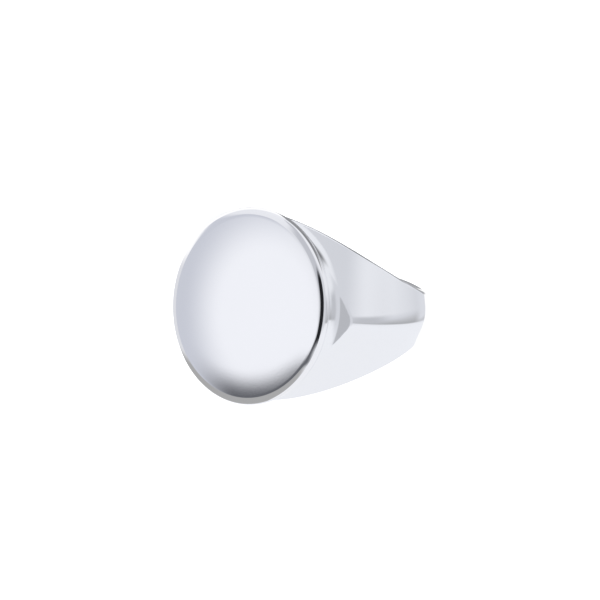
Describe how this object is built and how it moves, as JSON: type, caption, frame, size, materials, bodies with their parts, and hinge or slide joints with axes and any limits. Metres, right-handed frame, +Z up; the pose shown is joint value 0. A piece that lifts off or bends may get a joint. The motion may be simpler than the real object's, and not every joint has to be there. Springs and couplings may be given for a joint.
{
  "type": "signet ring",
  "caption": "Polished silver signet ring with a domed oval plate on a coved head and a ridged, tapering shank, lying on its side.",
  "frame": {"origin": "middle of the ring's footprint, at the height of the surface it lies on", "axes": "+Z up from that surface, +Y from the oval face towards the back of the band, +X across the width of the oval face"},
  "size_m": [0.0224, 0.0236, 0.0166],
  "materials": {
    "face_silver": "polished",
    "body_silver": "polished",
    "solder_silver": "polished"
  },
  "bodies": {
    "root": {"signet_plate": "face_silver", "plate_solder": "solder_silver", "head_block": "body_silver", "left_solder": "solder_silver", "right_solder": "solder_silver", "shank": "body_silver"}
  },
  "joints": []
}
